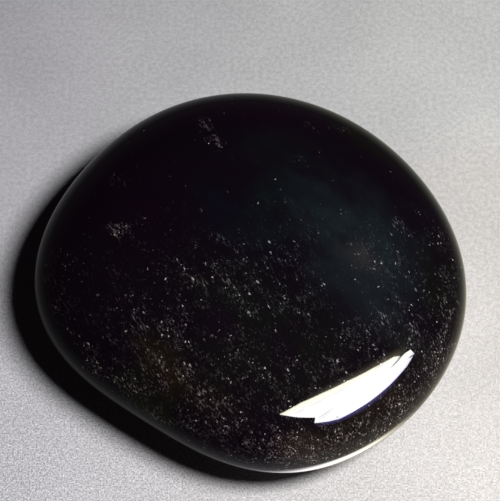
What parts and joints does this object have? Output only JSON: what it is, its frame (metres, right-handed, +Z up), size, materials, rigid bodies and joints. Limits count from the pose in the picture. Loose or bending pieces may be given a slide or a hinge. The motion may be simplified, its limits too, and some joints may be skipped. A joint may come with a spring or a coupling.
{
  "type": "polished obsidian slab",
  "caption": "Palm-sized slab of black obsidian: a rounded, slightly five-sided pebble with a low polished dome and a small flat underneath to lie on.",
  "frame": {"origin": "under the middle of the stone, on the flat that it lies on", "axes": "+Z up through the thickness; +X and +Y along the flat, with the stone's blunt point towards -Y"},
  "size_m": [0.0578, 0.057, 0.0173],
  "materials": {
    "polished_obsidian": "mirror-polished black volcanic glass with fine pale specks"
  },
  "bodies": {
    "root": {"obsidian_slab": "polished_obsidian"}
  },
  "joints": []
}
